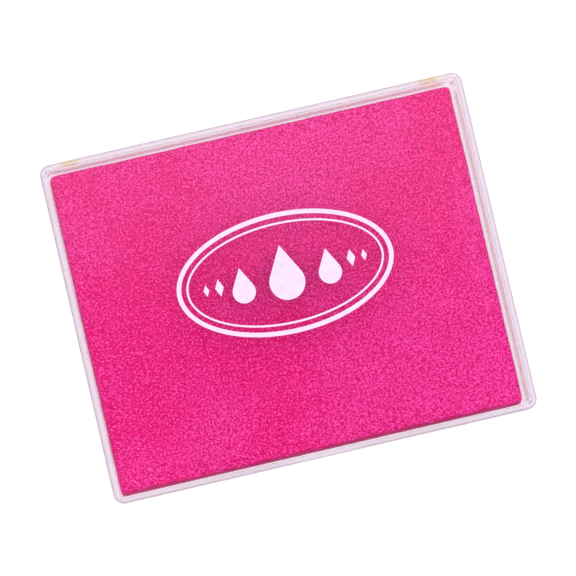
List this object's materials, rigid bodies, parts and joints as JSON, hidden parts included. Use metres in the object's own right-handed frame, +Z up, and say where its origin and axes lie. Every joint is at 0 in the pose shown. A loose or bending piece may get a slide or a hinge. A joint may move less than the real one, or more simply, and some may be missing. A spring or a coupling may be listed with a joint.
{
  "type": "ink pad",
  "caption": "Craft ink pad: a shallow clear hinged case holding a raised cloth-covered foam pad soaked in bright pink ink, with a plain printed ornament on the lid.",
  "frame": {"origin": "centre of the case's flat underside, on the surface it rests on", "axes": "+Z up, out of the lid; +X along the case's long side; +Y towards the hinge at the back"},
  "size_m": [0.075, 0.0605, 0.0181],
  "materials": {
    "clear_case": "clear polished",
    "clear_lid": "clear polished",
    "white_print": "satin screen print",
    "pin_brass": "satin",
    "ink_foam": "matte, soaked in ink",
    "ink_cloth": "damp, finely grained",
    "pad_tape": "matte"
  },
  "bodies": {
    "base": {"base_tray": "clear_case", "hinge_pin_left": "pin_brass", "hinge_pin_right": "pin_brass", "foam_core": "ink_foam", "pad_cloth": "ink_cloth", "pad_tape": "pad_tape"},
    "lid": {"lid_shell": "clear_lid", "lid_print": "white_print"}
  },
  "joints": [
    {"name": "lid_hinge", "type": "hinge", "parent": "base", "child": "lid", "pos_m": [0, 0.0299, 0.0096], "axis": [-1, 0, 0], "range_deg": [0, 150]}
  ]
}
